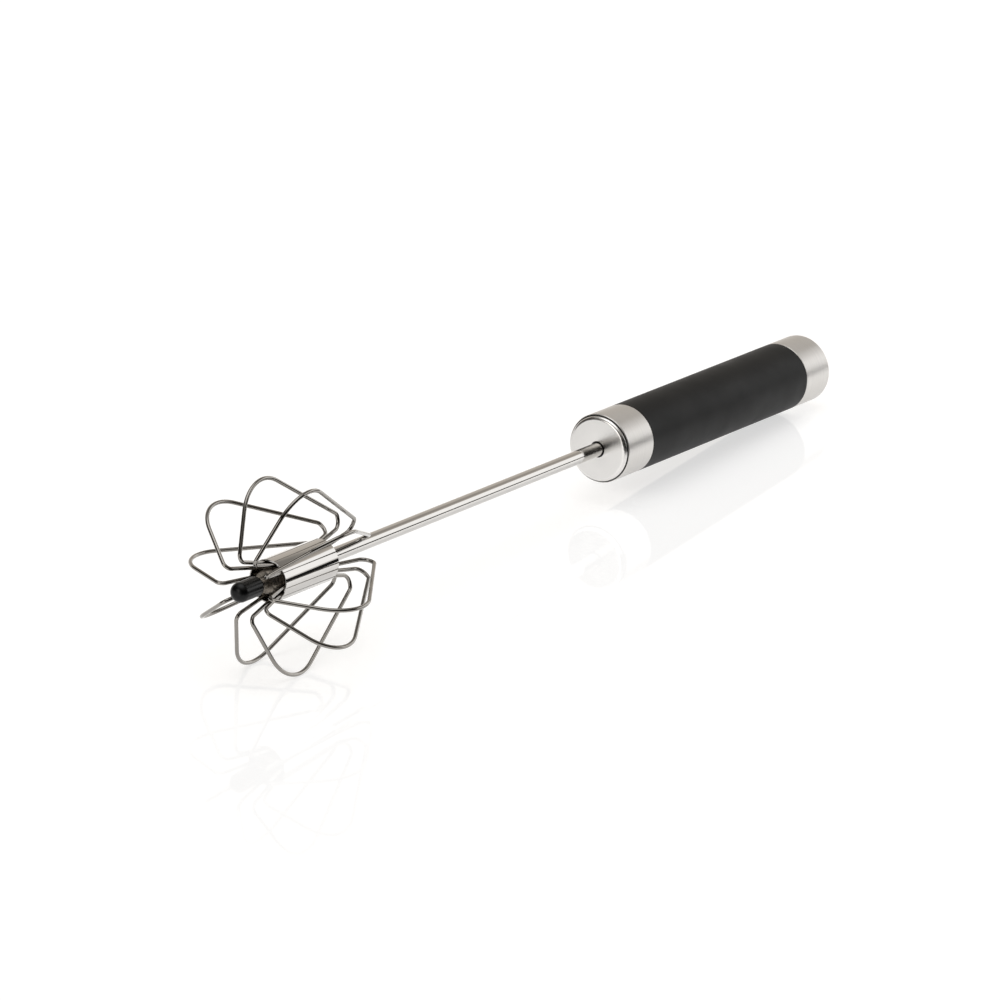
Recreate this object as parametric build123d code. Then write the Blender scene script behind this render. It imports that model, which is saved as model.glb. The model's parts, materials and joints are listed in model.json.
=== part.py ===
from build123d import *
from math import cos, degrees, hypot, pi, radians, sin, sqrt
import os

# A push-action hand whisk, lying on its side as it rests on a table. Pressing the handle
# along the shaft drives a twisted strip through a slotted nut, which spins the head of
# wire loops; a spring pushes the handle back. Every piece is turned, bent or twisted about
# one tool axis. Stations along that axis are in millimetres from the front rim of the
# handle's ferrule: positive towards the butt, negative towards the whisk.

# Handle, outside
handle_r = 12.5
ferrule_length = 16.5
grip_length = 107.0
rear_cap_length = 16.5
rim_chamfer = 0.25
grip_chamfer = 0.15
butt_round = 0.9
butt_wall = 2.5

# Handle, front end
lip_wall = 0.25
lip_depth = 1.0
seal_width = 0.4
seal_setback = 0.1
cap_proud = 1.5
cap_round = 1.3
cap_flange = 2.3
cap_front_wall = 1.0
cap_spigot_length = 8.5
cap_hole_gap = 0.4

# Handle, inside
grip_wall = 2.0
tube_wall = 1.7
bush_wall = 2.0
bush_flange_width = 2.5
bush_flange = 2.0
anchor_length = 10.0
anchor_setback = 13.0
anchor_pin_r = 0.6

# Drive
stroke = 60.0
strip_side_gap = 0.3
strip_thickness = 0.8
strip_lead = 30.0
strip_reach = 17.0
nut_side_wall = 2.1
nut_grip = 3.0
nut_wall = 3.0
seat_length = 6.0
collar_width = 2.5
collar_length = 3.0
spring_side_gap = 1.25
spring_wire_r = 0.55
spring_turns = 16

# Shaft and hub
shaft_r = 2.5
shaft_wall = 0.6
sleeve_r = 7.5
sleeve_wall = 0.5
sleeve_length = 31.0
sleeve_front = -206.0
sleeve_chamfer = 0.15
mouth_depth = 5.5
front_plug_length = 9.5
plug_spacing = 3.5
rear_recess = 2.5
boss_side_gap = 1.4
boss_proud = 1.8
boss_chamfer = 0.4
shaft_seat = 7.0

# Wire loops
wire_r = 0.7
front_leg_gap = 0.2
rear_leg_offset = 0.15
loop_neck = (-219.6, 9.7)
loop_crown = (-204.8, 39.3)
loop_tail = (-161.5, 12.8)
loop_heel = (-161.4, 8.4)
neck_bend = 2.2
crown_bend = 14.5
tail_bend = 1.8
heel_bend = 3.4
leg_bend = 3.0
leg_clear_of_mouth = 0.4
leg_clear_of_plug = 0.8
first_wire_angle = 90.0
wire_lean = (1.0, 1.0, 3.0, 0.0, -2.0, 6.0, -3.0, 1.5, -1.5, 1.0)

# Foot
foot_r = 3.45
foot_length = 12.4
foot_nose_round = 2.9
foot_tail_round = 1.2
foot_gap = 0.3
neck_r = 2.2
neck_length = 4.1
foot_pin_r = 1.25
foot_pin_bead = 0.4
foot_pin_bead_length = 1.0
foot_nose_wall = 2.6

# Clearances, on the radius or along the axis
glue_gap = 0.05
press_gap = 0.02
running_gap = 0.06
slider_gap = 0.2
slot_gap = 0.15
end_gap = 0.15
bead_gap = 0.2
cut_overrun = 1.0

# Radii that follow from the sizes, so that the pieces keep fitting when one size changes
tube_r = handle_r - grip_wall
tube_inner_r = tube_r - tube_wall
lip_inner_r = handle_r - lip_wall
cap_r = lip_inner_r - seal_width
cap_hole_r = shaft_r + cap_hole_gap
bush_r = shaft_r + bush_wall
bush_flange_r = bush_r + bush_flange_width
spring_r = tube_inner_r - spring_side_gap - spring_wire_r
strip_width = 2 * (shaft_r - shaft_wall - strip_side_gap)
nut_r = shaft_r + nut_side_wall
collar_r = shaft_r + collar_width
sleeve_inner_r = sleeve_r - sleeve_wall
front_leg_r = sleeve_inner_r - front_leg_gap - wire_r
rear_leg_r = (shaft_r + sleeve_inner_r) / 2 + rear_leg_offset
boss_r = front_leg_r - wire_r - boss_side_gap

# Stations that follow from the sizes
grip_front = ferrule_length
rear_cap_front = grip_front + grip_length
butt = rear_cap_front + rear_cap_length
tube_front = cap_flange - cap_proud + glue_gap
tube_back = butt - butt_wall - glue_gap
bush_front = cap_front_wall - cap_proud + glue_gap
spigot_back = cap_flange - cap_proud + cap_spigot_length
bush_back = spigot_back + bush_flange
collar_front = bush_back + end_gap
collar_back = collar_front + collar_length
seat_front = collar_back + end_gap
seat_back = seat_front + seat_length
nut_front = seat_back + end_gap
shaft_back = nut_front + nut_grip
nut_back = shaft_back + nut_wall
anchor_front = butt - butt_wall - anchor_setback
anchor_back = anchor_front + anchor_length
anchor_pin_at = (anchor_front + anchor_back) / 2
strip_front = nut_front - strip_reach
strip_back = anchor_back - end_gap
sleeve_back = sleeve_front + sleeve_length
front_plug_front = sleeve_front + mouth_depth
front_plug_back = front_plug_front + front_plug_length
rear_plug_back = sleeve_back - rear_recess
rear_plug_front = front_plug_back + plug_spacing
shaft_front = front_plug_back - shaft_seat
boss_front = sleeve_front - boss_proud
neck_front = boss_front - neck_length
foot_back = neck_front - foot_gap
foot_front = foot_back - foot_length
foot_bore_end = foot_front + foot_nose_wall
wire_angles = [
    first_wire_angle + 360 / len(wire_lean) * number + lean
    for number, lean in enumerate(wire_lean)
]


def turned(*corners):
    """Solid turned about the tool axis from corners (station, radius[, rounding])."""
    points = [(corner[0], corner[1]) for corner in corners]
    rounds = [corner[2] if len(corner) > 2 else 0 for corner in corners]
    outline = FilletPolyline(*points, radius=rounds, close=True)
    return revolve(make_face(outline), axis=Axis.X)


def ring(front, back, inner_r, outer_r):
    return turned((front, inner_r), (front, outer_r), (back, outer_r), (back, inner_r))


def rod(front, back, radius):
    return ring(front, back, 0, radius)


# --- Handle ---------------------------------------------------------------------------


def make_handle_tube():
    return ring(tube_front, tube_back, tube_inner_r, tube_r)


def make_grip_sleeve():
    bore = tube_r + glue_gap
    return turned(
        (grip_front, bore),
        (grip_front, handle_r - grip_chamfer),
        (grip_front + grip_chamfer, handle_r),
        (rear_cap_front - grip_chamfer, handle_r),
        (rear_cap_front, handle_r - grip_chamfer),
        (rear_cap_front, bore),
    )


def make_front_ferrule():
    """Ring with a thin front lip round the seal."""
    bore = tube_r + glue_gap
    return turned(
        (lip_depth, bore),
        (lip_depth, lip_inner_r),
        (0, lip_inner_r),
        (rim_chamfer, handle_r),
        (grip_front - rim_chamfer, handle_r),
        (grip_front, handle_r - rim_chamfer),
        (grip_front, bore),
    )


def make_seal_ring():
    """Ring pressed between the cap's edge and the ferrule's lip."""
    return ring(seal_setback, lip_depth - glue_gap, cap_r + press_gap, lip_inner_r - press_gap)


def make_front_cap():
    """Disc with a rounded rim, and a spigot that plugs the tube and holds the bush."""
    flange_back = cap_flange - cap_proud
    bush_seat = cap_front_wall - cap_proud
    return turned(
        (-cap_proud, cap_hole_r),
        (-cap_proud, cap_r, cap_round),
        (flange_back, cap_r),
        (flange_back, tube_inner_r - glue_gap),
        (spigot_back, tube_inner_r - glue_gap),
        (spigot_back, bush_r + glue_gap),
        (bush_seat, bush_r + glue_gap),
        (bush_seat, cap_hole_r),
    )


def make_guide_bush():
    bore = shaft_r + running_gap
    flange_front = spigot_back + glue_gap
    return turned(
        (bush_front, bore),
        (bush_front, bush_r),
        (flange_front, bush_r),
        (flange_front, bush_flange_r),
        (bush_back, bush_flange_r),
        (bush_back, bore),
    )


def make_rear_cap():
    """Cup over the end of the tube, with a softly rounded butt."""
    bore = tube_r + glue_gap
    return turned(
        (rear_cap_front, bore),
        (rear_cap_front, handle_r - rim_chamfer),
        (rear_cap_front + rim_chamfer, handle_r),
        (butt, handle_r, butt_round),
        (butt, 0),
        (butt - butt_wall, 0),
        (butt - butt_wall, bore),
    )


def strip_phase(station):
    """Turn of the twisted strip, in degrees, at a station along the axis."""
    return 360 * (station - anchor_pin_at) / strip_lead


def twisted_bar(front, back, width, thickness):
    """Flat bar along the tool axis with a right-hand twist of strip_lead per turn."""
    section = Plane.YZ.offset(front) * Rotation(0, 0, strip_phase(front)) * Rectangle(thickness, width)
    turn = strip_phase(back) - strip_phase(front)
    return Solid.extrude_linear_with_rotation(section.face(), (front, 0, 0), (back - front, 0, 0), turn)


def cross_pin(radius, half_length):
    """Cylinder across the tool axis, along Y, at the anchor pin's station."""
    return Pos(anchor_pin_at, 0, 0) * Rotation(90, 0, 0) * Cylinder(radius, 2 * half_length)


def make_drive_strip():
    strip = twisted_bar(strip_front, strip_back, strip_width, strip_thickness)
    return strip - cross_pin(anchor_pin_r + running_gap, strip_width)


def make_strip_anchor():
    strip_corner_r = hypot(strip_width, strip_thickness) / 2
    plug = ring(anchor_front, anchor_back, strip_corner_r + glue_gap, tube_inner_r - glue_gap)
    return plug - cross_pin(anchor_pin_r + press_gap, tube_r)


def make_anchor_pin():
    return cross_pin(anchor_pin_r, tube_inner_r - 2 * glue_gap)


def make_return_spring():
    """Open coil from the seat to the anchor, just clear of both."""
    start = seat_back + spring_wire_r + end_gap
    height = anchor_front - spring_wire_r - end_gap - start
    coil = Helix(pitch=height / spring_turns, height=height, radius=spring_r)
    section = Plane(coil @ 0, z_dir=coil % 0) * Circle(spring_wire_r)
    return Pos(start, 0, 0) * Rotation(0, 90, 0) * sweep(section, path=coil, is_frenet=True)


# --- Slider and shaft -----------------------------------------------------------------


def make_spring_seat():
    return ring(seat_front, seat_back, shaft_r + running_gap, tube_inner_r - slider_gap)


def make_shaft_tube():
    return ring(shaft_front, shaft_back, shaft_r - shaft_wall, shaft_r)


def make_stop_collar():
    return ring(collar_front, collar_back, shaft_r + press_gap, collar_r)


def make_drive_nut():
    """Cap on the end of the shaft, with a twisted slot that the strip passes through."""
    nut = turned(
        (nut_front, shaft_r + press_gap),
        (nut_front, nut_r),
        (nut_back, nut_r),
        (nut_back, 0),
        (shaft_back, 0),
        (shaft_back, shaft_r + press_gap),
    )
    slot = twisted_bar(
        shaft_back - end_gap,
        nut_back + end_gap,
        strip_width + 2 * slot_gap,
        strip_thickness + 2 * slot_gap,
    )
    return nut - slot


# --- Hub ------------------------------------------------------------------------------


def wire_channel(front, back, leg_r, open_to=0):
    """Channel along the axis for one wire's leg, straight below the tool axis."""
    channel_r = wire_r + press_gap
    channel = Pos(0, 0, -leg_r) * rod(front, back, channel_r)
    if open_to:
        channel += Pos((front + back) / 2, 0, -(leg_r + open_to) / 2) * Box(
            back - front, 2 * channel_r, open_to - leg_r
        )
    return channel


def cut_wire_channels(plug, channel):
    """Cut one channel for each wire, at that wire's own angle."""
    for angle in wire_angles:
        plug -= Rotation(angle, 0, 0) * channel
    return plug


def make_hub_sleeve():
    return turned(
        (sleeve_front, sleeve_inner_r),
        (sleeve_front, sleeve_r - sleeve_chamfer),
        (sleeve_front + sleeve_chamfer, sleeve_r),
        (sleeve_back - sleeve_chamfer, sleeve_r),
        (sleeve_back, sleeve_r - sleeve_chamfer),
        (sleeve_back, sleeve_inner_r),
    )


def make_front_wire_plug():
    """Plug in the sleeve's mouth, with open channels for the wires and a boss for the foot."""
    plug_r = sleeve_inner_r - press_gap
    plug = turned(
        (boss_front, foot_pin_r + press_gap),
        (boss_front, boss_r - boss_chamfer),
        (boss_front + boss_chamfer, boss_r),
        (front_plug_front, boss_r),
        (front_plug_front, plug_r),
        (front_plug_back, plug_r),
        (front_plug_back, shaft_r + press_gap),
        (shaft_front - end_gap, shaft_r + press_gap),
        (shaft_front - end_gap, foot_pin_r + press_gap),
    )
    channel = wire_channel(
        front_plug_front - cut_overrun, front_plug_back + cut_overrun, front_leg_r, open_to=sleeve_r
    )
    return cut_wire_channels(plug, channel)


def make_rear_wire_plug():
    plug = ring(rear_plug_front, rear_plug_back, shaft_r + press_gap, sleeve_inner_r - press_gap)
    channel = wire_channel(rear_plug_front - cut_overrun, rear_plug_back + cut_overrun, rear_leg_r)
    return cut_wire_channels(plug, channel)


# --- Wire loops -----------------------------------------------------------------------

# Corners of one loop's centreline as (station, distance from the tool axis), from the end
# of its front leg to the end of its rear leg.
loop_corners = [
    (front_plug_back - end_gap, front_leg_r),
    (sleeve_front + leg_clear_of_mouth, front_leg_r),
    loop_neck,
    loop_crown,
    loop_tail,
    loop_heel,
    (rear_plug_back + leg_clear_of_plug, rear_leg_r),
    (rear_plug_front + end_gap, rear_leg_r),
]
loop_bends = [leg_bend, neck_bend, crown_bend, tail_bend, heel_bend, leg_bend]


def make_whisk_wire():
    """One loop, bent in the plane straight below the tool axis."""
    path = FilletPolyline(*[(station, 0, -r) for station, r in loop_corners], radius=loop_bends)
    wire = sweep(Plane(path @ 0, z_dir=path % 0) * Circle(wire_r), path=path)
    print("wire volume over section times length:", round(wire.volume / (pi * wire_r**2 * path.length), 4))
    return wire


# --- Foot -----------------------------------------------------------------------------


def make_foot_pin():
    """Pin pressed into the boss, with a shoulder behind the foot and a bead inside it."""
    pin_front = foot_bore_end + bead_gap
    pin_back = shaft_front - 2 * end_gap
    bead_front = pin_front + foot_pin_bead_length
    bead_back = bead_front + foot_pin_bead_length
    bead_r = foot_pin_r + foot_pin_bead
    return turned(
        (pin_front, 0),
        (pin_front, foot_pin_r),
        (bead_front, foot_pin_r),
        (bead_front, bead_r),
        (bead_back, bead_r),
        (bead_back, foot_pin_r),
        (neck_front, foot_pin_r),
        (neck_front, neck_r),
        (boss_front - press_gap, neck_r),
        (boss_front - press_gap, foot_pin_r),
        (pin_back, foot_pin_r),
        (pin_back, 0),
    )


def make_foot():
    """Capsule with a blind bore for the pin and a groove for the pin's bead."""
    bore = foot_pin_r + running_gap
    groove_front = foot_bore_end + foot_pin_bead_length
    groove_back = groove_front + foot_pin_bead_length + 2 * bead_gap
    groove_r = foot_pin_r + foot_pin_bead + bead_gap
    return turned(
        (foot_front, 0),
        (foot_front, foot_r, foot_nose_round),
        (foot_back, foot_r, foot_tail_round),
        (foot_back, bore),
        (groove_back, bore),
        (groove_back, groove_r),
        (groove_front, groove_r),
        (groove_front, bore),
        (foot_bore_end, bore),
        (foot_bore_end, 0),
    )


# --- Resting pose ---------------------------------------------------------------------


def bend_centre(before, corner, after, bend_r):
    """Centre of the arc that rounds a corner of a flat path."""
    back = Vector(before[0] - corner[0], before[1] - corner[1]).normalized()
    ahead = Vector(after[0] - corner[0], after[1] - corner[1]).normalized()
    half_turn = radians(back.get_angle(ahead)) / 2
    centre = Vector(*corner) + (back + ahead).normalized() * (bend_r / sin(half_turn))
    return centre.X, centre.Y


def loop_depth(tilt):
    """How far the lowest loops reach below the tool axis origin when the butt dips by tilt."""
    station, r = bend_centre(loop_neck, loop_crown, loop_tail, crown_bend)
    side = max(cos(radians(angle)) for angle in wire_angles)
    reach = crown_bend * sqrt(sin(tilt) ** 2 + (side * cos(tilt)) ** 2)
    return station * sin(tilt) + r * side * cos(tilt) + reach + wire_r


def butt_depth(tilt):
    """How far the rounded rim of the butt reaches below the tool axis origin."""
    return (butt - butt_round) * sin(tilt) + (handle_r - butt_round) * cos(tilt) + butt_round


def resting_tilt():
    """Tilt, in radians, at which the lowest loops and the butt touch the table together."""
    low, high, close_enough = 0.0, radians(30), 1e-9
    while high - low > close_enough:
        middle = (low + high) / 2
        if loop_depth(middle) > butt_depth(middle):
            low = middle
        else:
            high = middle
    return low


handle_pieces = {
    "handle_tube": make_handle_tube(),
    "grip_sleeve": make_grip_sleeve(),
    "front_ferrule": make_front_ferrule(),
    "seal_ring": make_seal_ring(),
    "front_cap": make_front_cap(),
    "guide_bush": make_guide_bush(),
    "rear_cap": make_rear_cap(),
    "strip_anchor": make_strip_anchor(),
    "anchor_pin": make_anchor_pin(),
    "drive_strip": make_drive_strip(),
    "return_spring": make_return_spring(),
}
moving_pieces = {
    "spring_seat": make_spring_seat(),
    "shaft_tube": make_shaft_tube(),
    "stop_collar": make_stop_collar(),
    "drive_nut": make_drive_nut(),
    "hub_sleeve": make_hub_sleeve(),
    "front_wire_plug": make_front_wire_plug(),
    "rear_wire_plug": make_rear_wire_plug(),
    "foot_pin": make_foot_pin(),
    "foot": make_foot(),
}
straight_wire = make_whisk_wire()
wire_pieces = {
    f"whisk_wire_{number:02d}": Rotation(angle, 0, 0) * straight_wire
    for number, angle in enumerate(wire_angles, start=1)
}
pieces = {**handle_pieces, **moving_pieces, **wire_pieces}

# The tool lies on two loops and its butt, with the middle of its length over the origin.
tilt = resting_tilt()
tilted = Rotation(0, degrees(tilt), 0)
extent = Compound(children=[tilted * piece for piece in pieces.values()]).bounding_box()
resting = Pos(-extent.center().X, -extent.center().Y, butt_depth(tilt)) * tilted

os.makedirs("parts", exist_ok=True)
for name, piece in pieces.items():
    export_step(resting * piece, f"parts/{name}.step")

print("tilt, degrees:", round(degrees(tilt), 4))
print("tool axis origin, mm:", resting.position)
print("lowest point before lifting, mm:", round(extent.min.Z + butt_depth(tilt), 4))
print("size, mm:", extent.size)
print("turns in the stroke:", stroke / strip_lead, "ratio, rad per m:", 2 * pi / strip_lead * 1000)
print("spring length at rest and pressed:", anchor_front - seat_back, anchor_front - seat_back - stroke)
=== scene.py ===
import json
import math

import bmesh
import bpy
import numpy as np
from bpy.props import FloatProperty, FloatVectorProperty, IntProperty, PointerProperty
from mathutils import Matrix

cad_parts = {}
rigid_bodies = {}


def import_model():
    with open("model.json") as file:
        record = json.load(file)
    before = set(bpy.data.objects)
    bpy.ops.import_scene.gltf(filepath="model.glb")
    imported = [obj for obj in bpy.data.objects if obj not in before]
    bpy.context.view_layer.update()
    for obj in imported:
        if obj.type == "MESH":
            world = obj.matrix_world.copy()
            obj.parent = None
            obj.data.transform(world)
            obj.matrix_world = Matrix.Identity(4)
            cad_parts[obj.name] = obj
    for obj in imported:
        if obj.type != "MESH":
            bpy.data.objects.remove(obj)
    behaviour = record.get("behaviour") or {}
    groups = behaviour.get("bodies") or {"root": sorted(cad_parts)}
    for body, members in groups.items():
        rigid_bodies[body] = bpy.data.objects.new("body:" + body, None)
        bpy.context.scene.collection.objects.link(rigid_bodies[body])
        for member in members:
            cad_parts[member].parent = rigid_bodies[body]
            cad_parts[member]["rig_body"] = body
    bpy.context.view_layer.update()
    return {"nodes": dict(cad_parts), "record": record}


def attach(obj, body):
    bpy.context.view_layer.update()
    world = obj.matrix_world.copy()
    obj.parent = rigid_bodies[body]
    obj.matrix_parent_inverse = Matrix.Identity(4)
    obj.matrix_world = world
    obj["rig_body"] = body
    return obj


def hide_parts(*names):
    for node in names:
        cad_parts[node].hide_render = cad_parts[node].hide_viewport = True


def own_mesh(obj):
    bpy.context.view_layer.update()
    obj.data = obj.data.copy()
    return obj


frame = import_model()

bl_info = {
    "name": "Push Whisk Builder",
    "version": (1, 0, 0),
    "blender": (4, 5, 0),
    "location": "3D View > Sidebar > Whisk",
    "description": "Dresses the packed push-action whisk with fine surfaces, finishes and a studio",
    "category": "Object",
}

MM = 0.001
MERGE_DISTANCE = 2e-7
LONG_RUN = 2 * MM
CUP_RIM_DEPTH = 0.1 * MM

# --- Tool frame -----------------------------------------------------------------------
# The tool is turned about one axis. A point of it is given by its station along that axis,
# measured from the ferrule's front rim towards the butt, and by its offsets across the tool
# (row +Y) and up from the axis.

butt_mount = next(m for m in frame["record"]["mounts"] if m["name"] == "butt_face")
ALONG = np.array(butt_mount["axis"]) / np.linalg.norm(butt_mount["axis"])
ACROSS = np.array([0.0, 1.0, 0.0])
UP = np.cross(ALONG, ACROSS)


def node_points(node):
    """Vertices of a CAD node, as an array of points in the row frame."""
    vertices = frame["nodes"][node].data.vertices
    points = np.empty(len(vertices) * 3)
    vertices.foreach_get("co", points)
    return points.reshape(-1, 3)


def rim_point():
    """Point of the tool axis at the ferrule's front rim: the butt's centre moved along the axis."""
    butt_centre = np.array(butt_mount["pos_m"])
    return butt_centre + ALONG * ((node_points("front_ferrule") - butt_centre) @ ALONG).min()


RIM = rim_point()


def span(node):
    """First and last station of a node: its points' offsets from the rim, projected on the axis."""
    stations = (node_points(node) - RIM) @ ALONG
    return float(stations.min()), float(stations.max())


def reach(node):
    """Largest distance of a node's points from the tool axis."""
    offsets = node_points(node) - RIM
    return float(np.hypot(offsets @ ACROSS, offsets @ UP).max())


def bore(node):
    """Smallest distance of a node's points from the tool axis."""
    offsets = node_points(node) - RIM
    return float(np.hypot(offsets @ ACROSS, offsets @ UP).min())


def placed(station, across, up):
    """Row-frame points: rim + station * along + across * across axis + up * up axis."""
    station, across, up = np.broadcast_arrays(station, across, up)
    return RIM + station[..., None] * ALONG + across[..., None] * ACROSS + up[..., None] * UP


# --- Surfaces -------------------------------------------------------------------------


def rounded_outline(corners, closed=False, arc_steps=8):
    """Flat outline through corners (station, radius[, rounding]), as an array of points.

    A rounded corner is the arc that touches both of its sides: its centre lies on the
    bisector at rounding / sin(half the corner's angle), and its points go from one touching
    point to the other at even turns about that centre.
    """
    flat = np.array([corner[:2] for corner in corners], float)
    rounding = [corner[2] if len(corner) > 2 else 0.0 for corner in corners]
    outline = []
    for k, corner in enumerate(flat):
        if rounding[k] == 0.0 or (not closed and k in (0, len(flat) - 1)):
            outline.append(corner[None])
            continue
        back = flat[k - 1] - corner
        ahead = flat[(k + 1) % len(flat)] - corner
        back, ahead = back / np.linalg.norm(back), ahead / np.linalg.norm(ahead)
        half = math.acos(np.clip(back @ ahead, -1, 1)) / 2
        bisector = (back + ahead) / np.linalg.norm(back + ahead)
        centre = corner + bisector * rounding[k] / math.sin(half)
        start = corner + back * rounding[k] / math.tan(half) - centre
        turn = math.copysign(math.pi - 2 * half, back[1] * ahead[0] - back[0] * ahead[1])
        turns = np.linspace(0, turn, max(arc_steps, int(abs(turn) / math.radians(5))) + 1)
        outline.append(
            centre
            + np.stack(
                (
                    start[0] * np.cos(turns) - start[1] * np.sin(turns),
                    start[0] * np.sin(turns) + start[1] * np.cos(turns),
                ),
                axis=-1,
            )
        )
    return np.concatenate(outline)


def grid_quads(rows, columns, rows_wrap, columns_wrap):
    """Corner indices of the quads of a grid, with the row and column of each corner.

    Quad (i, j) has the corners (i, j), (i + 1, j), (i + 1, j + 1) and (i, j + 1); a wrapped
    direction counts on to the first row or column again.
    """
    i, j = np.meshgrid(
        np.arange(rows if rows_wrap else rows - 1),
        np.arange(columns if columns_wrap else columns - 1),
        indexing="ij",
    )
    row = np.stack((i, i + 1, i + 1, i), axis=-1).reshape(-1, 4)
    column = np.stack((j, j, j + 1, j + 1), axis=-1).reshape(-1, 4)
    return (row % rows) * columns + column % columns, row, column


def grid_piece(name, points, along_lengths, rows_wrap=False, columns_wrap=True, crease=35):
    """Mesh object from a grid of points, one row for each place along it and columns around.

    The UV map Surface has the share of a turn as U and the length along the grid, in
    metres, as V. Coincident points at poles are merged, faces are turned outwards, and edges
    sharper than crease degrees stay sharp.
    """
    rows, columns = points.shape[:2]
    quads, row, column = grid_quads(rows, columns, rows_wrap, columns_wrap)
    mesh = bpy.data.meshes.new(name)
    mesh.from_pydata(points.reshape(-1, 3), [], quads)
    uv = np.stack((column / columns, along_lengths[row]), axis=-1)
    mesh.uv_layers.new(name="Surface").data.foreach_set("uv", uv.astype(np.float32).ravel())
    return finished_piece(name, mesh, crease)


def finished_piece(name, mesh, crease):
    """Merges doubles, turns the faces outwards and shades the mesh smooth between its creases."""
    surface = bmesh.new()
    surface.from_mesh(mesh)
    bmesh.ops.remove_doubles(surface, verts=surface.verts, dist=MERGE_DISTANCE)
    bmesh.ops.recalc_face_normals(surface, faces=surface.faces)
    surface.to_mesh(mesh)
    surface.free()
    mesh.shade_smooth()
    mesh.set_sharp_from_angle(angle=math.radians(crease))
    piece = bpy.data.objects.new(name, mesh)
    bpy.context.scene.collection.objects.link(piece)
    return piece


def turned_piece(name, corners, closed=True, around=144):
    """Surface of revolution: outline point (s, r) at turn t goes to (s, r sin t, r cos t)."""
    outline = rounded_outline(corners, closed)
    steps = np.roll(outline, -1, axis=0) - outline
    lengths = np.concatenate(([0.0], np.cumsum(np.hypot(*steps.T))))
    turn = np.linspace(0, 2 * np.pi, around, endpoint=False)
    station, radius = outline[:, :1], outline[:, 1:]
    points = placed(station, radius * np.sin(turn), radius * np.cos(turn))
    return grid_piece(name, points, lengths, rows_wrap=closed)


def copied_piece(name, node, crease=30):
    """A CAD node's own surface as a new piece, with its triangles joined and shaded smooth."""
    return finished_piece(name, frame["nodes"][node].data.copy(), crease)


def bent_line(corners, arc_steps=14, straight_steps=6):
    """Centreline of a bent wire: its rounded outline, with the straight runs divided evenly."""
    outline = rounded_outline(corners, arc_steps=arc_steps)
    share = np.linspace(0, 1, straight_steps, endpoint=False)[:, None]
    gaps = np.hypot(*np.diff(outline, axis=0).T)
    runs = [
        start + (end - start) * (share if gap > LONG_RUN else share[:1])
        for start, end, gap in zip(outline[:-1], outline[1:], gaps)
    ]
    return np.concatenate((*runs, outline[-1:]))


def wire_piece(name, line, angle, wire_r, around=20):
    """Round wire along a flat centreline that leans angle radians from straight down.

    With n the centreline's normal in its plane and b the plane's own normal, the surface
    point at turn t is centre + wire_r (cos t n + sin t b). Both ends close on a point.
    """
    tangent = np.gradient(line, axis=0)
    tangent /= np.linalg.norm(tangent, axis=1, keepdims=True)
    lengths = np.concatenate(([0.0], np.cumsum(np.hypot(*np.diff(line, axis=0).T))))
    section = np.full(len(line), wire_r)
    line, tangent = np.pad(line, ((1, 1), (0, 0)), "edge"), np.pad(tangent, ((1, 1), (0, 0)), "edge")
    lengths, section = np.pad(lengths, 1, "edge"), np.pad(section, 1)
    turn = np.linspace(0, 2 * np.pi, around, endpoint=False)
    beside = section[:, None] * np.cos(turn)
    sideways = section[:, None] * np.sin(turn)
    station = line[:, :1] - tangent[:, 1:] * beside
    out = line[:, 1:] + tangent[:, :1] * beside
    across = out * math.sin(angle) + sideways * math.cos(angle)
    down = out * math.cos(angle) - sideways * math.sin(angle)
    return grid_piece(name, placed(station, across, -down), lengths)


def coil_piece(name, front, back, coil_r, wire_r, turns, steps=40, around=12):
    """Open coil: the section's centre at turn a is (front + pitch a, coil_r sin a, coil_r cos a).

    The section is a circle in the plane of the outward direction and the direction across
    the coil's slope. Both ends close on a point.
    """
    angle = np.linspace(0, 2 * np.pi * turns, turns * steps + 1)
    rise = (back - front) / angle[-1]
    slope = math.atan2(rise, coil_r)
    section = np.full(len(angle), wire_r)
    angle, section = np.pad(angle, 1, "edge")[:, None], np.pad(section, 1)[:, None]
    turn = np.linspace(0, 2 * np.pi, around, endpoint=False)
    outward, lifted = section * np.cos(turn), section * np.sin(turn)
    station = front + rise * angle + lifted * math.cos(slope)
    radius = coil_r + outward
    slip = -lifted * math.sin(slope)
    across = radius * np.sin(angle) + slip * np.cos(angle)
    up = radius * np.cos(angle) - slip * np.sin(angle)
    return grid_piece(name, placed(station, across, up), angle[:, 0] * coil_r)


# --- Finishes -------------------------------------------------------------------------


def add_node(tree, kind, inputs=None, **settings):
    """Adds a node, sets its settings, and links or sets its inputs by name or number."""
    node = tree.nodes.new(kind)
    for setting, value in settings.items():
        setattr(node, setting, value)
    for key, value in (inputs or {}).items():
        if isinstance(value, bpy.types.NodeSocket):
            tree.links.new(value, node.inputs[key])
        else:
            node.inputs[key].default_value = value
    return node


def blank_finish(name):
    """New material with a Principled surface, and the tree and shader to work on."""
    material = bpy.data.materials.new(name)
    material.use_nodes = True
    return material, material.node_tree, material.node_tree.nodes["Principled BSDF"]


def grain(tree, scale, detail=5.0, roughness=0.6, surface_uv=False):
    """Noise stretched by scale, on the surface's own UV map or on object coordinates."""
    if surface_uv:
        place = add_node(tree, "ShaderNodeUVMap", uv_map="Surface").outputs["UV"]
    else:
        place = add_node(tree, "ShaderNodeTexCoord").outputs["Object"]
    mapped = add_node(tree, "ShaderNodeMapping", {"Vector": place, "Scale": scale})
    noise = add_node(
        tree,
        "ShaderNodeTexNoise",
        {"Vector": mapped.outputs["Vector"], "Scale": 1.0, "Detail": detail, "Roughness": roughness},
    )
    return noise.outputs["Fac"]


def between(tree, amount, low, high, start=0.3, end=0.7):
    """Value from low to high as amount goes from start to end."""
    ranged = add_node(
        tree,
        "ShaderNodeMapRange",
        {"Value": amount, "From Min": start, "From Max": end, "To Min": low, "To Max": high},
    )
    return ranged.outputs["Result"]


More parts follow.
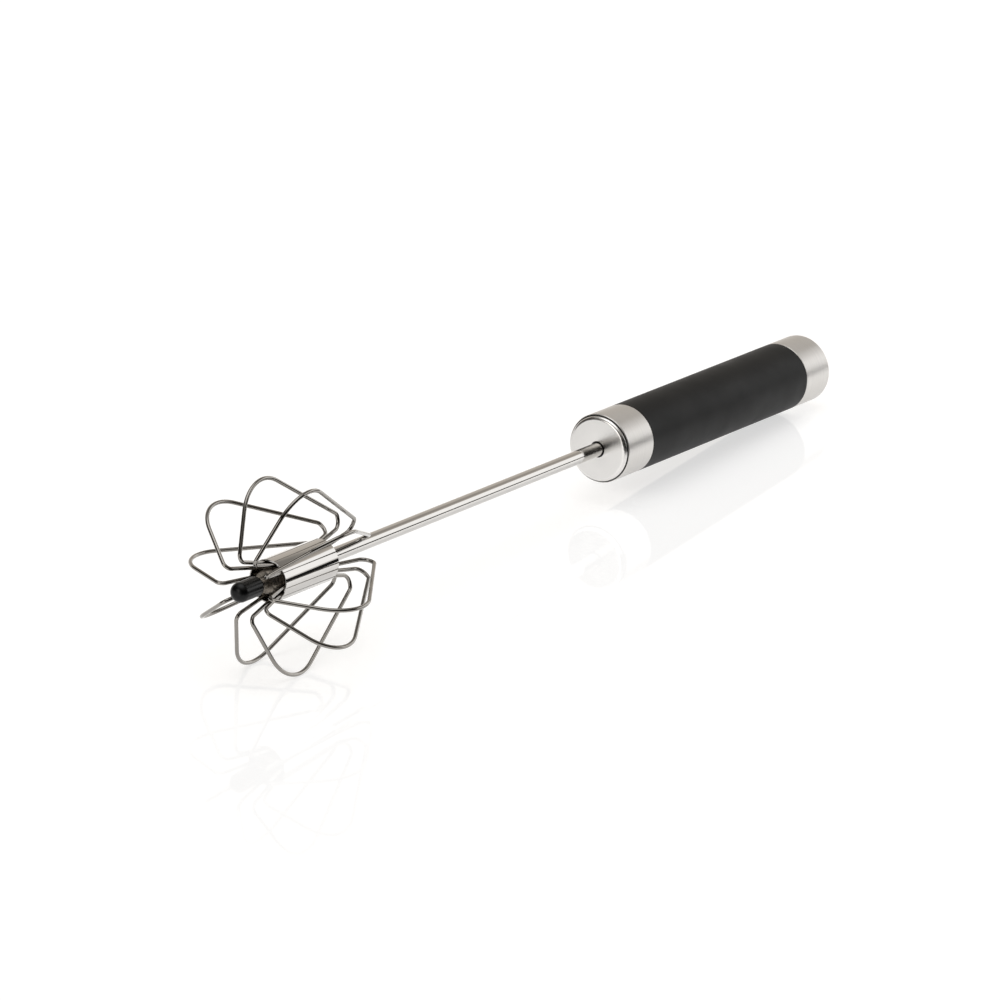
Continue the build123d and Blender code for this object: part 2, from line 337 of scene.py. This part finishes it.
def tinted(tree, amount, colour, low, high):
    """Colour made darker to brighter by the factors low to high as amount rises."""
    shades = add_node(tree, "ShaderNodeValToRGB", {"Fac": amount})
    ends = shades.color_ramp.elements
    ends[0].position, ends[1].position = 0.3, 0.7
    ends[0].color = (*[channel * low for channel in colour], 1)
    ends[1].color = (*[min(channel * high, 1.0) for channel in colour], 1)
    return shades.outputs["Color"]


def relief(tree, height, strength, distance):
    """Bump from a height, strength of the effect and distance in metres."""
    bump = add_node(tree, "ShaderNodeBump", {"Height": height, "Strength": strength, "Distance": distance})
    return bump.outputs["Normal"]


def connect(tree, shader, colour, roughness, normal):
    tree.links.new(colour, shader.inputs["Base Color"])
    tree.links.new(roughness, shader.inputs["Roughness"])
    tree.links.new(normal, shader.inputs["Normal"])


def brushed_finish(name, colour, roughness=(0.34, 0.4)):
    """Steel brushed round the tool: fine rings of noise, much longer round than along."""
    material, tree, shader = blank_finish(name)
    fine = grain(tree, (3, 16000, 1), 3, 0.6, surface_uv=True)
    broad = grain(tree, (2, 3200, 1), 2, 0.5, surface_uv=True)
    rings = add_node(tree, "ShaderNodeMath", {0: fine, 1: broad}, operation="ADD").outputs[0]
    half = add_node(tree, "ShaderNodeMath", {0: rings, 1: 0.5}, operation="MULTIPLY").outputs[0]
    shader.inputs["Metallic"].default_value = 1.0
    shader.inputs["Anisotropic"].default_value = 0.6
    shader.inputs["Anisotropic Rotation"].default_value = 0.25
    tangent = add_node(tree, "ShaderNodeTangent", direction_type="UV_MAP", uv_map="Surface")
    tree.links.new(tangent.outputs["Tangent"], shader.inputs["Tangent"])
    connect(
        tree,
        shader,
        tinted(tree, half, colour, 0.89, 1.07),
        between(tree, half, *roughness),
        relief(tree, fine, 0.05, 0.006 * MM),
    )
    return material


def polished_finish(name, colour, roughness=(0.05, 0.09), clouds=140, scratches=(2, 3000, 1)):
    """Polished steel: cloudy haze from wiping, and very faint polishing lines."""
    material, tree, shader = blank_finish(name)
    haze = grain(tree, (clouds, clouds, clouds), 4, 0.55)
    lines = grain(tree, scratches, 3, 0.6, surface_uv=True)
    shader.inputs["Metallic"].default_value = 1.0
    connect(
        tree,
        shader,
        tinted(tree, haze, colour, 0.97, 1.02),
        between(tree, haze, *roughness),
        relief(tree, lines, 0.02, 0.01 * MM),
    )
    return material


def machined_finish(name, colour, roughness=(0.16, 0.3), metallic=1.0, clouds=600, shades=(0.85, 1.06)):
    """Turned or ground metal of the inner pieces, patterned on object coordinates."""
    material, tree, shader = blank_finish(name)
    marks = grain(tree, (clouds * 6, clouds, clouds), 5, 0.65)
    shader.inputs["Metallic"].default_value = metallic
    connect(
        tree,
        shader,
        tinted(tree, marks, colour, *shades),
        between(tree, marks, *roughness),
        relief(tree, marks, 0.1, 0.01 * MM),
    )
    return material


def moulded_finish(name, colour, roughness=(0.45, 0.6), texture=5200, depth=0.02, specular=0.4, bump=0.25):
    """Moulded rubber or plastic: a fine pebbled skin with slow changes of gloss."""
    material, tree, shader = blank_finish(name)
    skin = grain(tree, (texture, texture, texture), 3, 0.55)
    slow = grain(tree, (90, 90, 90), 3, 0.5)
    shader.inputs["Specular IOR Level"].default_value = specular
    connect(
        tree,
        shader,
        tinted(tree, slow, colour, 0.9, 1.12),
        between(tree, slow, *roughness),
        relief(tree, skin, bump, depth * MM),
    )
    return material


def dressed(piece, body, slot, finish, *nodes):
    """Gives a piece its finish and body, and hides the CAD nodes that it stands for. The slot argument is
    not used.
    """
    piece.data.materials.clear()
    piece.data.materials.append(finish)
    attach(piece, body)
    if nodes:
        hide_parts(*nodes)
    return piece


def body_of_node(node):
    return frame["nodes"][node]["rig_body"]


# --- Sizes and colours ----------------------------------------------------------------


def length(name, description, default):
    return FloatProperty(
        name=name, description=description, default=default, min=0.0, unit="LENGTH", precision=5
    )


def colour(name, description, default):
    return FloatVectorProperty(
        name=name, description=description, default=default, size=3, min=0.0, max=1.0, subtype="COLOR"
    )


def corner(name, description, default):
    """A bend's corner in mm: station, distance from the axis, and bend radius."""
    return FloatVectorProperty(name=name, description=description, default=default, size=3)


class WhiskHandleSizes(bpy.types.PropertyGroup):
    handle_r: length("Handle radius", "Outside radius of sleeve and steel ends", reach("grip_sleeve"))
    steel_chamfer: length("Steel chamfer", "Chamfer on the rims of the steel ends", 0.25 * MM)
    steel_edge: length("Steel edge", "Tiny round on the chamfers", 0.06 * MM)
    sleeve_edge: length("Sleeve edge", "Round at the ends of the black sleeve", 0.16 * MM)
    butt_round: length("Butt round", "Round between the butt and the side", 0.9 * MM)
    butt_wall: length("Butt wall", "Thickness of the rear cap's end", 2.5 * MM)
    lip_depth: length("Lip depth", "Length of the ferrule's thin front lip", 1.0 * MM)
    cap_round: length("Cap round", "Round on the front cap's rim", 1.3 * MM)
    cap_flange: length("Cap flange", "Thickness of the front cap's flange", 2.3 * MM)
    cap_front_wall: length("Cap front wall", "Wall of the cap in front of the bush", 1.0 * MM)
    cap_hole_r: length("Cap hole radius", "Radius of the hole round the shaft", 2.9 * MM)
    spigot_r: length("Spigot radius", "Radius of the cap's spigot inside the tube", 8.75 * MM)
    bush_seat_r: length("Bush seat radius", "Radius of the bore that holds the bush", 4.55 * MM)
    hole_edge: length("Hole edge", "Round on the rim of the cap's hole", 0.12 * MM)
    seal_edge: length("Seal edge", "Round on the front edges of the seal", 0.08 * MM)


class WhiskHeadSizes(bpy.types.PropertyGroup):
    sleeve_lip: length("Sleeve lip", "Round on the rims of the hub sleeve", 0.15 * MM)
    wire_r: length("Wire radius", "Radius of the loop wire", 0.7 * MM)
    front_end: corner("Front end", "End of the front leg", (-191.15, 6.1, 0.0))
    mouth: corner("Mouth", "Bend as the wire leaves the mouth", (-205.6, 6.1, 3.0))
    neck: corner("Neck", "Bend in front of the mouth", (-219.6, 9.7, 2.2))
    crown: corner("Crown", "Wide bend at the loop's outer end", (-204.8, 39.3, 14.5))
    tail: corner("Tail", "Upper bend behind the sleeve", (-161.5, 12.8, 1.8))
    heel: corner("Heel", "Lower bend behind the sleeve", (-161.4, 8.4, 3.4))
    collar: corner("Collar", "Bend as the wire enters the rear plug", (-176.7, 4.9, 3.0))
    rear_end: corner("Rear end", "End of the rear leg", (-187.35, 4.9, 0.0))
    first_angle: FloatProperty(
        name="First angle", description="Angle of loop 01 from straight down",
        default=math.radians(90), subtype="ANGLE",
    )
    leans: FloatVectorProperty(
        name="Leans", description="How far each loop leans from its even place",
        default=tuple(math.radians(a) for a in (1, 1, 3, 0, -2, 6, -3, 1.5, -1.5, 1)),
        size=10,
    )
    nose_round: length("Nose round", "Round of the foot's front end", 2.9 * MM)
    tail_round: length("Tail round", "Round of the foot's back end", 1.2 * MM)
    nose_wall: length("Nose wall", "From the foot's front end to the end of its bore", 2.6 * MM)
    foot_bore_r: length("Foot bore radius", "Radius of the bore round the pin", 1.31 * MM)
    groove_start: length("Groove start", "From the bore's end to the groove for the bead", 1.0 * MM)
    groove_stop: length("Groove stop", "From the bore's end to the groove's back", 2.4 * MM)
    groove_r: length("Groove radius", "Radius of the groove for the bead", 1.85 * MM)
    spring_turns: IntProperty(name="Spring turns", description="Turns of the return spring", default=16)
    spring_wire_r: length("Spring wire radius", "Radius of the spring's wire", 0.55 * MM)


class WhiskFinishes(bpy.types.PropertyGroup):
    brushed: colour("Brushed steel", "Ferrule and rear cap", (0.7, 0.68, 0.655))
    cap: colour("Front cap", "Satin polished disc", (0.8, 0.785, 0.765))
    polished: colour("Polished steel", "Shaft, sleeve and rear plug", (0.58, 0.565, 0.545))
    wire: colour("Wire steel", "Loops", (0.3, 0.285, 0.265))
    # Dark brown-grey mottled metal of the plug and pin in the mouth.
    dark_mottled: colour("Dark mottled steel", "Dark mottled plug and pin in the mouth", (0.22, 0.195, 0.165))
    grip: colour("Soft grip", "Black sleeve", (0.0038, 0.0038, 0.0037))
    rubber: colour("Foot rubber", "Foot", (0.0012, 0.0012, 0.0012))
    seal: colour("Seal", "Seal ring and bush", (0.008, 0.008, 0.008))
    acetal: colour("White acetal", "Seat, anchor and nut", (0.72, 0.71, 0.68))
    aluminium: colour("Aluminium", "Core tube", (0.72, 0.73, 0.74))
    spring: colour("Spring steel", "Spring, strip and pin", (0.46, 0.45, 0.43))


class WhiskStudio(bpy.types.PropertyGroup):
    azimuth: FloatProperty(
        name="Azimuth", description="Camera heading; at 0 it looks along +Y",
        default=math.radians(-57.25), subtype="ANGLE",
    )
    elevation: FloatProperty(
        name="Elevation", description="Camera height angle", default=math.radians(19.89), subtype="ANGLE"
    )
    roll: FloatProperty(
        name="Roll", description="Camera turn about its own axis",
        default=math.radians(1.116), subtype="ANGLE",
    )
    distance: length("Distance", "From the camera to its aim", 2.4338)
    aim: FloatVectorProperty(
        name="Aim", description="Point in the middle of the view",
        default=(-0.0208, 0.0011, 0.0194), size=3, subtype="XYZ_LENGTH",
    )
    lens: FloatProperty(name="Lens", description="Focal length in mm", default=252.0)
    floor_size: length("Floor size", "Side of the square floor", 40.0)
    floor_colour: colour("Floor", "Pale floor", (0.6, 0.6, 0.6))
    floor_glow: FloatProperty(name="Floor glow", description="Light of the lit table", default=0.62)
    gap_from: length("Gap from", "Distance from the tool to the dark gap beside the table", 0.115)


# --- Pieces of the handle -------------------------------------------------------------


class WHISK_OT_grip(bpy.types.Operator):
    """Build the black soft-touch sleeve."""

    bl_idname = "whisk.grip"
    bl_label = "Grip sleeve"

    def execute(self, context):
        sizes, finishes = context.scene.whisk_handle, context.scene.whisk_finishes
        front, back = span("grip_sleeve")
        inner = bore("grip_sleeve")
        piece = turned_piece(
            "grip_skin",
            [
                (front, inner),
                (front, sizes.handle_r, sizes.sleeve_edge),
                (back, sizes.handle_r, sizes.sleeve_edge),
                (back, inner),
            ],
            around=192,
        )
        finish = moulded_finish("soft_grip", finishes.grip, (0.5, 0.58), 6500, 0.02, 0.24)
        dressed(piece, "handle", "soft_grip", finish, "grip_sleeve")
        return {"FINISHED"}


class WHISK_OT_steel_ends(bpy.types.Operator):
    """Build the brushed ferrule and the brushed rear cap."""

    bl_idname = "whisk.steel_ends"
    bl_label = "Steel ends"

    def execute(self, context):
        sizes, finishes = context.scene.whisk_handle, context.scene.whisk_finishes
        outer, chamfer, edge = sizes.handle_r, sizes.steel_chamfer, sizes.steel_edge
        finish = brushed_finish("brushed_steel", finishes.brushed)
        front, back = span("front_ferrule")
        inner = bore("front_ferrule")
        ferrule = turned_piece(
            "ferrule_shell",
            [
                (front + sizes.lip_depth, inner),
                (front + sizes.lip_depth, outer - chamfer),
                (front, outer - chamfer),
                (front + chamfer, outer, edge),
                (back - chamfer, outer, edge),
                (back, outer - chamfer, edge),
                (back, inner),
            ],
            around=192,
        )
        dressed(ferrule, "handle", "brushed_steel", finish, "front_ferrule")
        front, back = span("rear_cap")
        inner = bore_of_cup("rear_cap")
        cap = turned_piece(
            "rear_cap_shell",
            [
                (back - sizes.butt_wall, 0.0),
                (back - sizes.butt_wall, inner),
                (front, inner),
                (front, outer - chamfer, edge),
                (front + chamfer, outer, edge),
                (back, outer, sizes.butt_round),
                (back, 0.0),
            ],
            closed=False,
            around=192,
        )
        dressed(cap, "handle", "brushed_steel", finish, "rear_cap")
        return {"FINISHED"}


def bore_of_cup(node):
    """Radius of a cup's bore: the smallest distance from the axis at its open front rim."""
    offsets = node_points(node) - RIM
    stations = offsets @ ALONG
    rim = stations < stations.min() + CUP_RIM_DEPTH
    return float(np.hypot(offsets @ ACROSS, offsets @ UP)[rim].min())


class WHISK_OT_front_cap(bpy.types.Operator):
    """Build the satin front cap and the black seal round it."""

    bl_idname = "whisk.front_cap"
    bl_label = "Front cap and seal"

    def execute(self, context):
        sizes, finishes = context.scene.whisk_handle, context.scene.whisk_finishes
        front, back = span("front_cap")
        outer = reach("front_cap")
        flange_back = front + sizes.cap_flange
        bush_seat = front + sizes.cap_front_wall
        cap = turned_piece(
            "front_cap_disc",
            [
                (front, sizes.cap_hole_r, sizes.hole_edge),
                (front, outer, sizes.cap_round),
                (flange_back, outer),
                (flange_back, sizes.spigot_r),
                (back, sizes.spigot_r),
                (back, sizes.bush_seat_r),
                (bush_seat, sizes.bush_seat_r),
                (bush_seat, sizes.cap_hole_r),
            ],
            around=192,
        )
        finish = polished_finish("satin_steel", finishes.cap, (0.2, 0.27))
        dressed(cap, "handle", "polished_steel", finish, "front_cap")
        front, back = span("seal_ring")
        inner, outer = bore("seal_ring"), reach("seal_ring")
        seal = turned_piece(
            "seal_band",
            [
                (front, inner, sizes.seal_edge),
                (front, outer, sizes.seal_edge),
                (back, outer),
                (back, inner),
            ],
            around=192,
        )
        dressed(seal, "handle", "black_seal", moulded_finish("black_seal", finishes.seal), "seal_ring")
        return {"FINISHED"}


# --- Pieces of the shaft and head -----------------------------------------------------


class WHISK_OT_shaft(bpy.types.Operator):
    """Build the polished shaft."""

    bl_idname = "whisk.shaft"
    bl_label = "Shaft"

    def execute(self, context):
        front, back = span("shaft_tube")
        inner, outer = bore("shaft_tube"), reach("shaft_tube")
        shaft = turned_piece(
            "shaft_rod",
            [(front, inner), (front, outer), (back, outer), (back, inner)],
            around=96,
        )
        finish = polished_finish("polished_shaft", context.scene.whisk_finishes.polished, (0.05, 0.09))
        dressed(shaft, "whisk", "polished_steel", finish, "shaft_tube")
        return {"FINISHED"}


class WHISK_OT_hub(bpy.types.Operator):
    """Build the hub sleeve and the two plugs that hold the wires."""

    bl_idname = "whisk.hub"
    bl_label = "Hub"

    def execute(self, context):
        sizes, finishes = context.scene.whisk_head, context.scene.whisk_finishes
        front, back = span("hub_sleeve")
        inner, outer = bore("hub_sleeve"), reach("hub_sleeve")
        sleeve = turned_piece(
            "hub_shell",
            [
                (front, inner, sizes.sleeve_lip),
                (front, outer, sizes.sleeve_lip),
                (back, outer, sizes.sleeve_lip),
                (back, inner, sizes.sleeve_lip),
            ],
        )
        finish = polished_finish("polished_sleeve", finishes.polished, (0.03, 0.06))
        dressed(sleeve, "whisk", "polished_steel", finish, "hub_sleeve")
        turned = machined_finish("turned_steel", finishes.polished)
        # Dark brown-grey metal with strong mottling for the plug and pin in the mouth.
        dark_mottled = machined_finish("dark_mottled_steel", finishes.dark_mottled, (0.2, 0.45), 0.9, 420, (0.4, 1.6))
        for node, plug_finish in (
            ("front_wire_plug", dark_mottled), ("rear_wire_plug", turned), ("foot_pin", dark_mottled)
        ):
            plug = copied_piece(node + "_turned", node)
            dressed(plug, body_of_node(node), "polished_steel", plug_finish, node)
        return {"FINISHED"}


class WHISK_OT_wires(bpy.types.Operator):
    """Bend the ten wire loops."""

    bl_idname = "whisk.wires"
    bl_label = "Wire loops"

    def execute(self, context):
        sizes, finishes = context.scene.whisk_head, context.scene.whisk_finishes
        bends = (
            sizes.front_end, sizes.mouth, sizes.neck, sizes.crown,
            sizes.tail, sizes.heel, sizes.collar, sizes.rear_end,
        )
        line = bent_line([tuple(value * MM for value in bend) for bend in bends])
        finish = polished_finish("polished_wire", finishes.wire, (0.02, 0.045), 220, (2, 900, 1))
        nodes = sorted(node for node in frame["nodes"] if node.startswith("whisk_wire_"))
        for number, node in enumerate(nodes):
            angle = sizes.first_angle + 2 * math.pi * number / len(nodes) + sizes.leans[number]
            wire = wire_piece(node.replace("whisk_wire", "loop_wire"), line, angle, sizes.wire_r)
            dressed(wire, "whisk", "wire_steel", finish, node)
        return {"FINISHED"}


class WHISK_OT_foot(bpy.types.Operator):
    """Build the black foot that the whisk turns on."""

    bl_idname = "whisk.foot"
    bl_label = "Foot"

    def execute(self, context):
        sizes, finishes = context.scene.whisk_head, context.scene.whisk_finishes
        front, back = span("foot")
        outer = reach("foot")
        bore_end, bore_r, groove_r = front + sizes.nose_wall, sizes.foot_bore_r, sizes.groove_r
        groove_front, groove_back = bore_end + sizes.groove_start, bore_end + sizes.groove_stop
        foot = turned_piece(
            "foot_capsule",
            [
                (front, 0.0),
                (front, outer, sizes.nose_round),
                (back, outer, sizes.tail_round),
                (back, bore_r),
                (groove_back, bore_r),
                (groove_back, groove_r),
                (groove_front, groove_r),
                (groove_front, bore_r),
                (bore_end, bore_r),
                (bore_end, 0.0),
            ],
            closed=False,
            around=96,
        )
        finish = moulded_finish("foot_rubber", finishes.rubber, (0.26, 0.34), 7000, 0.01, 0.25)
        dressed(foot, "foot", "foot_rubber", finish, "foot")
        return {"FINISHED"}


# --- Pieces inside the handle ---------------------------------------------------------


class WHISK_OT_inner_pieces(bpy.types.Operator):
    """Coil the return spring and give the hidden CAD pieces their finishes."""

    bl_idname = "whisk.inner_pieces"
    bl_label = "Inner pieces"

    def execute(self, context):
        sizes, finishes = context.scene.whisk_head, context.scene.whisk_finishes
        front, back = span("return_spring")
        coil_r = reach("return_spring") - sizes.spring_wire_r
        spring = coil_piece(
            "return_coil",
            front + sizes.spring_wire_r,
            back - sizes.spring_wire_r,
            coil_r,
            sizes.spring_wire_r,
            sizes.spring_turns,
        )
        spring_finish = machined_finish("spring_steel", finishes.spring, (0.22, 0.36))
        dressed(spring, "handle", "spring_steel", spring_finish, "return_spring")
        anchor_front = span("strip_anchor")[0]
        room = anchor_front - span("spring_seat")[1]
        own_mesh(spring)
        acetal = moulded_finish("white_acetal", finishes.acetal, (0.35, 0.45), 2500)
        hidden = {
            "handle_tube": machined_finish("core_aluminium", finishes.aluminium),
            "guide_bush": moulded_finish("black_bush", finishes.seal, (0.35, 0.45), 2500),
            "strip_anchor": acetal,
            "spring_seat": acetal,
            "drive_nut": acetal,
            "anchor_pin": spring_finish,
            "drive_strip": spring_finish,
            "stop_collar": machined_finish("collar_steel", finishes.polished),
        }
        for node, finish in hidden.items():
            materials = frame["nodes"][node].data.materials
            materials.clear()
            materials.append(finish)
        return {"FINISHED"}


# --- Studio ---------------------------------------------------------------------------


def level_sheet(name, x_range, y_range, height, cells=8):
    """Level sheet over a range of x and y, as a grid of quads facing up."""
    x, y = np.meshgrid(np.linspace(*x_range, cells + 1), np.linspace(*y_range, cells + 1), indexing="ij")
    quads = grid_quads(cells + 1, cells + 1, False, False)[0]
    mesh = bpy.data.meshes.new(name)
    mesh.from_pydata(np.stack((x, y, np.full_like(x, height)), axis=-1).reshape(-1, 3), [], quads)
    sheet = bpy.data.objects.new(name, mesh)
    bpy.context.scene.collection.objects.link(sheet)
    return sheet


def studio_floor(studio):
    """Glossy white lit table, and beside it a dark gap that only polished surfaces show."""
    half = studio.floor_size / 2
    floor = level_sheet("studio_floor", (-half, half), (-half, half), 0.0)
    material, tree, shader = blank_finish("floor_gloss")
    slow = grain(tree, (3, 3, 3), 2, 0.5)
    shader.inputs["Emission Color"].default_value = (1, 1, 1, 1)
    shader.inputs["Emission Strength"].default_value = studio.floor_glow
    tree.links.new(tinted(tree, slow, studio.floor_colour, 0.995, 1.0), shader.inputs["Base Color"])
    tree.links.new(between(tree, slow, 0.03, 0.04), shader.inputs["Roughness"])
    floor.data.materials.append(material)
    gap = level_sheet("studio_gap", (-half, half), (-half, -studio.gap_from), 0.2 * MM)
    gap.visible_camera = gap.visible_diffuse = gap.visible_shadow = gap.visible_transmission = False
    material, tree, shader = blank_finish("gap_black")
    tree.nodes.remove(shader)
    behind = add_node(tree, "ShaderNodeNewGeometry").outputs["Backfacing"]
    black = add_node(tree, "ShaderNodeEmission", {"Strength": 0.015}).outputs["Emission"]
    clear = add_node(tree, "ShaderNodeBsdfTransparent").outputs["BSDF"]
    mixed = add_node(tree, "ShaderNodeMixShader", {0: behind, 1: black, 2: clear})
    tree.links.new(mixed.outputs["Shader"], tree.nodes["Material Output"].inputs["Surface"])
    gap.data.materials.append(material)


# Colour of the walls at each height, from level to straight up.
WALL_SHADES = (
    (0.0, (0.9, 0.88, 0.86)),
    (0.12, (0.72, 0.67, 0.61)),
    (0.48, (0.66, 0.61, 0.55)),
    (0.58, (0.3, 0.285, 0.265)),
    (0.8, (0.34, 0.33, 0.315)),
)
CEILING_STRENGTHS = (1.0, 1.9)
CEILING_HEIGHTS = (0.82, 0.9)
# Patches of the sky: centre, full within and gone beyond (degrees), height band, colour.
SKY_PATCHES = (
    ((-0.5, 0.2, 0.15), 70, 80, -0.3, 0.7, (0.05, 0.045, 0.04)),  # dark end of the room
    ((-0.95, 0.1, 0.35), 16, 20, 0.05, 0.6, (1.9, 1.86, 1.8)),  # panel in front of the foot
    ((-0.2, -0.95, 0.1), 48, 54, -0.3, 0.6, (0.012, 0.011, 0.01)),  # dark side of the room
    ((0.84, -0.42, 0.2), 26, 28, 0.05, 0.47, (1.5, 1.5, 1.5)),  # panel beyond the butt
)
PATCH_EDGE = 0.012


def glow_patch(tree, direction, centre, inner, outer, low, high):
    """Amount from 0 to 1 inside a soft round patch of the sky, cut to a band of heights.

    The patch is full within inner degrees of its centre, gone beyond outer degrees, and
    limited to directions whose height is between low and high.
    """
    centre = np.array(centre) / np.linalg.norm(centre)
    nearness = add_node(
        tree, "ShaderNodeVectorMath", {0: direction, 1: tuple(centre)}, operation="DOT_PRODUCT"
    ).outputs["Value"]
    height = add_node(tree, "ShaderNodeSeparateXYZ", {0: direction}).outputs["Z"]
    amounts = (
        between(tree, nearness, 0, 1, math.cos(math.radians(outer)), math.cos(math.radians(inner))),
        between(tree, height, 0, 1, low - PATCH_EDGE, low + PATCH_EDGE),
        between(tree, height, 1, 0, high - PATCH_EDGE, high + PATCH_EDGE),
    )
    product = amounts[0]
    for amount in amounts[1:]:
        product = add_node(tree, "ShaderNodeMath", {0: product, 1: amount}, operation="MULTIPLY").outputs[0]
    return product


def studio_light():
    """Soft studio light all round: bright above, beige-grey walls, two bright panels, two dark areas."""
    world = bpy.data.worlds.new("studio")
    bpy.context.scene.world = world
    world.use_nodes = True
    tree = world.node_tree
    direction = add_node(tree, "ShaderNodeTexCoord").outputs["Generated"]
    height = add_node(tree, "ShaderNodeSeparateXYZ", {0: direction}).outputs["Z"]
    walls = add_node(tree, "ShaderNodeValToRGB", {"Fac": height})
    steps = walls.color_ramp.elements
    for position, shade in WALL_SHADES:
        step = steps.new(position)
        step.color = (*shade, 1)
    steps.remove(steps[0])
    steps[-1].color = (1, 1, 1, 1)
    ceiling = between(tree, height, *CEILING_STRENGTHS, *CEILING_HEIGHTS)
    light = add_node(
        tree, "ShaderNodeVectorMath", {0: walls.outputs["Color"], "Scale": ceiling}, operation="SCALE"
    ).outputs["Vector"]
    for centre, inner, outer, low, high, shade in SKY_PATCHES:
        amount = glow_patch(tree, direction, centre, inner, outer, low, high)
        mixed = add_node(
            tree, "ShaderNodeMix", {0: amount, 4: light, 5: shade}, data_type="VECTOR", clamp_factor=True
        )
        light = mixed.outputs[1]
    background = tree.nodes["Background"]
    tree.links.new(light, background.inputs["Color"])


def studio_camera(studio):
    """Camera on the ray from its aim at the azimuth and elevation, rolled about that ray."""
    heading, lift = studio.azimuth, studio.elevation
    back = np.array(
        (math.sin(heading) * math.cos(lift), -math.cos(heading) * math.cos(lift), math.sin(lift))
    )
    level_right = np.array((math.cos(heading), math.sin(heading), 0.0))
    level_up = np.cross(back, level_right)
    right = level_right * math.cos(studio.roll) + level_up * math.sin(studio.roll)
    up = np.cross(back, right)
    place = np.array(studio.aim) + back * studio.distance
    data = bpy.data.cameras.new("studio_camera")
    data.lens = studio.lens
    data.sensor_width = 36.0
    data.clip_end = 200.0
    camera = bpy.data.objects.new("studio_camera", data)
    matrix = np.eye(4)
    matrix[:3, :3] = np.stack((right, up, back), axis=-1)
    matrix[:3, 3] = place
    camera.matrix_world = matrix.T.tolist()
    bpy.context.scene.collection.objects.link(camera)
    bpy.context.scene.camera = camera


class WHISK_OT_studio(bpy.types.Operator):
    """Set up the pale floor, the soft light and the camera."""

    bl_idname = "whisk.studio"
    bl_label = "Studio"

    def execute(self, context):
        studio = context.scene.whisk_studio
        studio_floor(studio)
        studio_light()
        studio_camera(studio)
        context.scene.view_settings.view_transform = "Standard"
        return {"FINISHED"}


# --- Panel and registration -----------------------------------------------------------

BUILD_STEPS = (
    WHISK_OT_grip,
    WHISK_OT_steel_ends,
    WHISK_OT_front_cap,
    WHISK_OT_shaft,
    WHISK_OT_hub,
    WHISK_OT_wires,
    WHISK_OT_foot,
    WHISK_OT_inner_pieces,
    WHISK_OT_studio,
)
GROUPS = {
    "whisk_handle": WhiskHandleSizes,
    "whisk_head": WhiskHeadSizes,
    "whisk_finishes": WhiskFinishes,
    "whisk_studio": WhiskStudio,
}


class WHISK_PT_builder(bpy.types.Panel):
    """Steps that build the whisk."""

    bl_idname = "WHISK_PT_builder"
    bl_label = "Push whisk"
    bl_space_type = "VIEW_3D"
    bl_region_type = "UI"
    bl_category = "Whisk"

    def draw(self, context):
        for step in BUILD_STEPS:
            self.layout.operator(step.bl_idname)


def register():
    for group in GROUPS.values():
        bpy.utils.register_class(group)
    for name, group in GROUPS.items():
        setattr(bpy.types.Scene, name, PointerProperty(type=group))
    for step in (*BUILD_STEPS, WHISK_PT_builder):
        bpy.utils.register_class(step)


def unregister():
    for step in (WHISK_PT_builder, *reversed(BUILD_STEPS)):
        bpy.utils.unregister_class(step)
    for name, group in GROUPS.items():
        delattr(bpy.types.Scene, name)
        bpy.utils.unregister_class(group)


def main():
    register()
    for step in BUILD_STEPS:
        family, verb = step.bl_idname.split(".")
        result = getattr(getattr(bpy.ops, family), verb)()
        if result != {"FINISHED"}:
            raise RuntimeError(f"{step.bl_label} did not finish")


if __name__ == "__main__":
    main()
